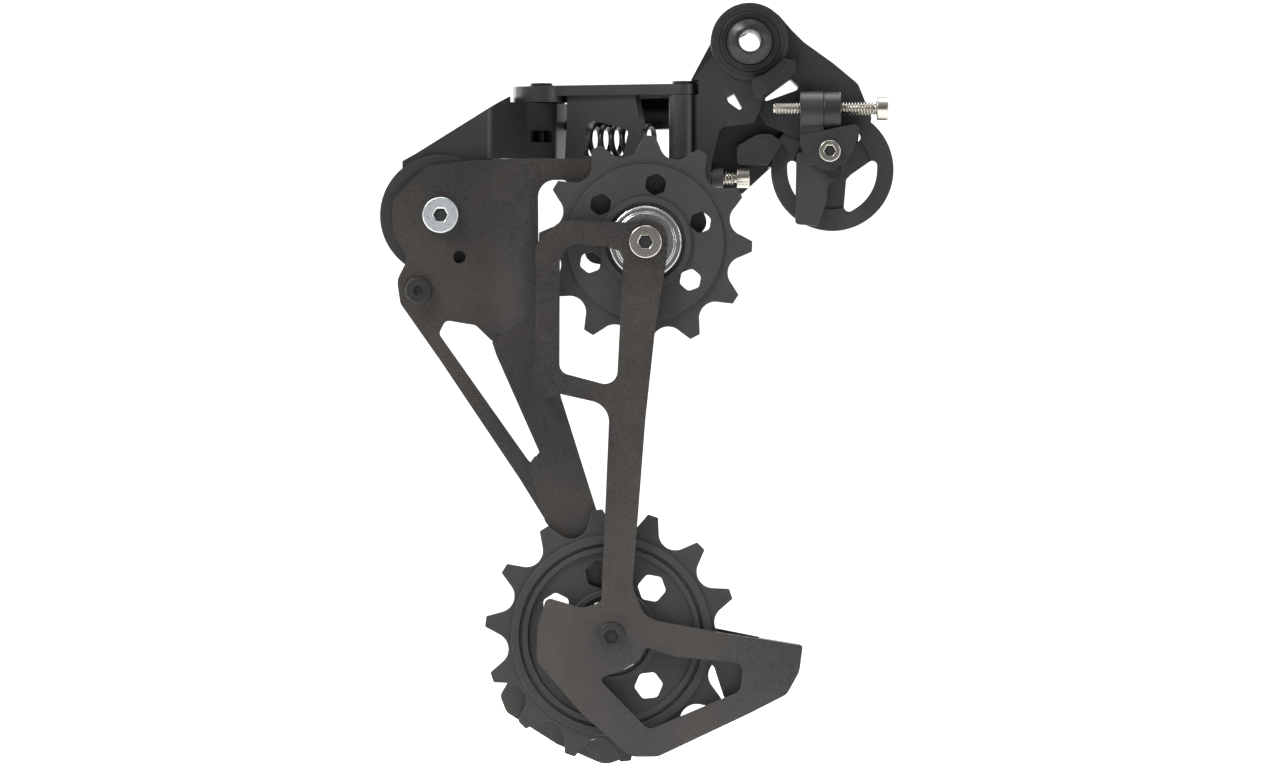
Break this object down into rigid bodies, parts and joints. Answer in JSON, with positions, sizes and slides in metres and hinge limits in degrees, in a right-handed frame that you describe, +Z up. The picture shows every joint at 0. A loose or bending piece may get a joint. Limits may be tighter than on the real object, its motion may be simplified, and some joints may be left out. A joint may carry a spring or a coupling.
{
  "type": "rear bicycle derailleur",
  "caption": "Long-cage rear derailleur: hanger knuckle, spring-loaded parallelogram, damped chain cage and toothed jockey wheels that move a chain across a cassette.",
  "frame": {"origin": "axis of the mounting bolt, on the face that sits on the frame hanger", "axes": "+X towards the rear of the bicycle, +Y outboard away from the wheel, +Z up; shown at the outermost, smallest-sprocket position"},
  "size_m": [0.1228, 0.0592, 0.1815],
  "materials": {
    "black_alloy": "satin black finish on die-cast alloy",
    "coated_plate": "black electro-coated steel sheet",
    "nylon": "moulded glass-filled nylon",
    "rubber_seal": "matte rubber",
    "stainless": "bright stainless",
    "zinc": "bright zinc plate",
    "polished_steel": "polished steel",
    "black_steel": "black oxide",
    "bronze_bush": "sintered bronze"
  },
  "bodies": {
    "bolt": {"mounting_bolt": "black_steel", "bolt_stop_ring": "black_steel", "bolt_bushing": "bronze_bush", "bolt_washer": "stainless"},
    "upper_knuckle": {"b_knuckle": "black_alloy", "bolt_seal": "rubber_seal", "b_screw_barrel": "black_steel", "cable_guide": "nylon", "cable_wheel_axle": "black_steel", "guide_screw": "stainless", "high_limit_screw_collar": "nylon", "low_limit_screw_collar": "nylon", "inner_rear_pin": "black_steel", "outer_rear_pin": "black_steel"},
    "tension_screw": {"b_tension_screw": "stainless"},
    "high_limit_screw": {"high_limit_screw": "stainless"},
    "low_limit_screw": {"low_limit_screw": "stainless"},
    "cable_wheel": {"cable_wheel": "nylon"},
    "inner_link": {"inner_link": "black_alloy", "return_spring": "black_steel"},
    "outer_link": {"outer_link": "black_alloy", "cable_anchor_bolt": "stainless", "cable_anchor_washer": "stainless"},
    "front_knuckle": {"p_knuckle": "black_alloy", "inner_front_pin": "black_steel", "outer_front_pin": "black_steel", "cage_spring": "black_steel", "damper_cover": "black_alloy", "damper_cover_screws": "black_steel", "cage_seal": "rubber_seal", "damper_band": "nylon"},
    "cage": {"outer_cage_plate": "coated_plate", "inner_cage_plate": "coated_plate", "cage_spindle": "black_steel", "cage_bolt": "zinc", "cage_stop_screw": "black_steel", "damper_clutch": "black_steel", "upper_pulley_sleeve": "polished_steel", "upper_pulley_shield_inner": "polished_steel", "upper_pulley_shield_outer": "polished_steel", "upper_pulley_bolt": "stainless", "lower_pulley_sleeve": "polished_steel", "lower_pulley_shield_inner": "polished_steel", "lower_pulley_shield_outer": "polished_steel", "lower_pulley_bolt": "black_steel"},
    "upper_pulley": {"upper_pulley": "nylon", "upper_pulley_bearing": "polished_steel"},
    "lower_pulley": {"lower_pulley": "nylon", "lower_pulley_bearing": "polished_steel"},
    "cage_lock_button": {"cage_lock_button": "nylon"}
  },
  "joints": [
    {"name": "hanger_pivot", "type": "hinge", "parent": "bolt", "child": "upper_knuckle", "pos_m": [0, 0, 0], "axis": [0, 1, 0], "range_deg": [-15, 40]},
    {"name": "tension_screw_travel", "type": "slide", "parent": "upper_knuckle", "child": "tension_screw", "axis": [1, 0, 0], "range_m": [-0.007, 0.004]},
    {"name": "high_limit_screw_travel", "type": "slide", "parent": "upper_knuckle", "child": "high_limit_screw", "axis": [1, 0, 0], "range_m": [-0.002, 0.002]},
    {"name": "low_limit_screw_travel", "type": "slide", "parent": "upper_knuckle", "child": "low_limit_screw", "axis": [1, 0, 0], "range_m": [-0.002, 0.002]},
    {"name": "cable_wheel_spin", "type": "hinge", "parent": "upper_knuckle", "child": "cable_wheel", "pos_m": [0.01985, 0.008, -0.0305], "axis": [0, 1, 0], "continuous": true},
    {"name": "shift", "type": "hinge", "parent": "upper_knuckle", "child": "inner_link", "pos_m": [-0.0158, 0.005, -0.02], "axis": [0, 0, 1], "range_deg": [0, 56], "stiffness_Nm_per_rad": 0.3, "springref_deg": -22.92, "deforming": ["return_spring"]},
    {"name": "shift_outer", "type": "hinge", "parent": "upper_knuckle", "child": "outer_link", "pos_m": [-0.0118, 0.016, -0.0157], "axis": [0, 0, 1], "range_deg": [0, 56]},
    {"name": "shift_front", "type": "hinge", "parent": "inner_link", "child": "front_knuckle", "pos_m": [-0.04997, 0.02317, -0.02], "axis": [0, 0, 1], "range_deg": [-56, 0]},
    {"name": "cage_pivot", "type": "hinge", "parent": "front_knuckle", "child": "cage", "pos_m": [-0.0738, 0, -0.0415], "axis": [0, 1, 0], "range_deg": [0, 100], "stiffness_Nm_per_rad": 0.25, "springref_deg": -68.75, "deforming": ["cage_spring"]},
    {"name": "upper_pulley_spin", "type": "hinge", "parent": "cage", "child": "upper_pulley", "pos_m": [-0.0249, -0.012, -0.0481], "axis": [0, 1, 0], "continuous": true},
    {"name": "lower_pulley_spin", "type": "hinge", "parent": "cage", "child": "lower_pulley", "pos_m": [-0.033, -0.012, -0.1416], "axis": [0, 1, 0], "continuous": true},
    {"name": "cage_lock_press", "type": "slide", "parent": "front_knuckle", "child": "cage_lock_button", "axis": [0, -1, 0], "range_m": [0, 0.002], "stiffness_N_per_m": 400, "springref_m": -0.002}
  ],
  "couplings": [
    {"joint": "shift_outer", "follows": "shift", "ratio": 1},
    {"joint": "shift_front", "follows": "shift", "ratio": -1}
  ]
}
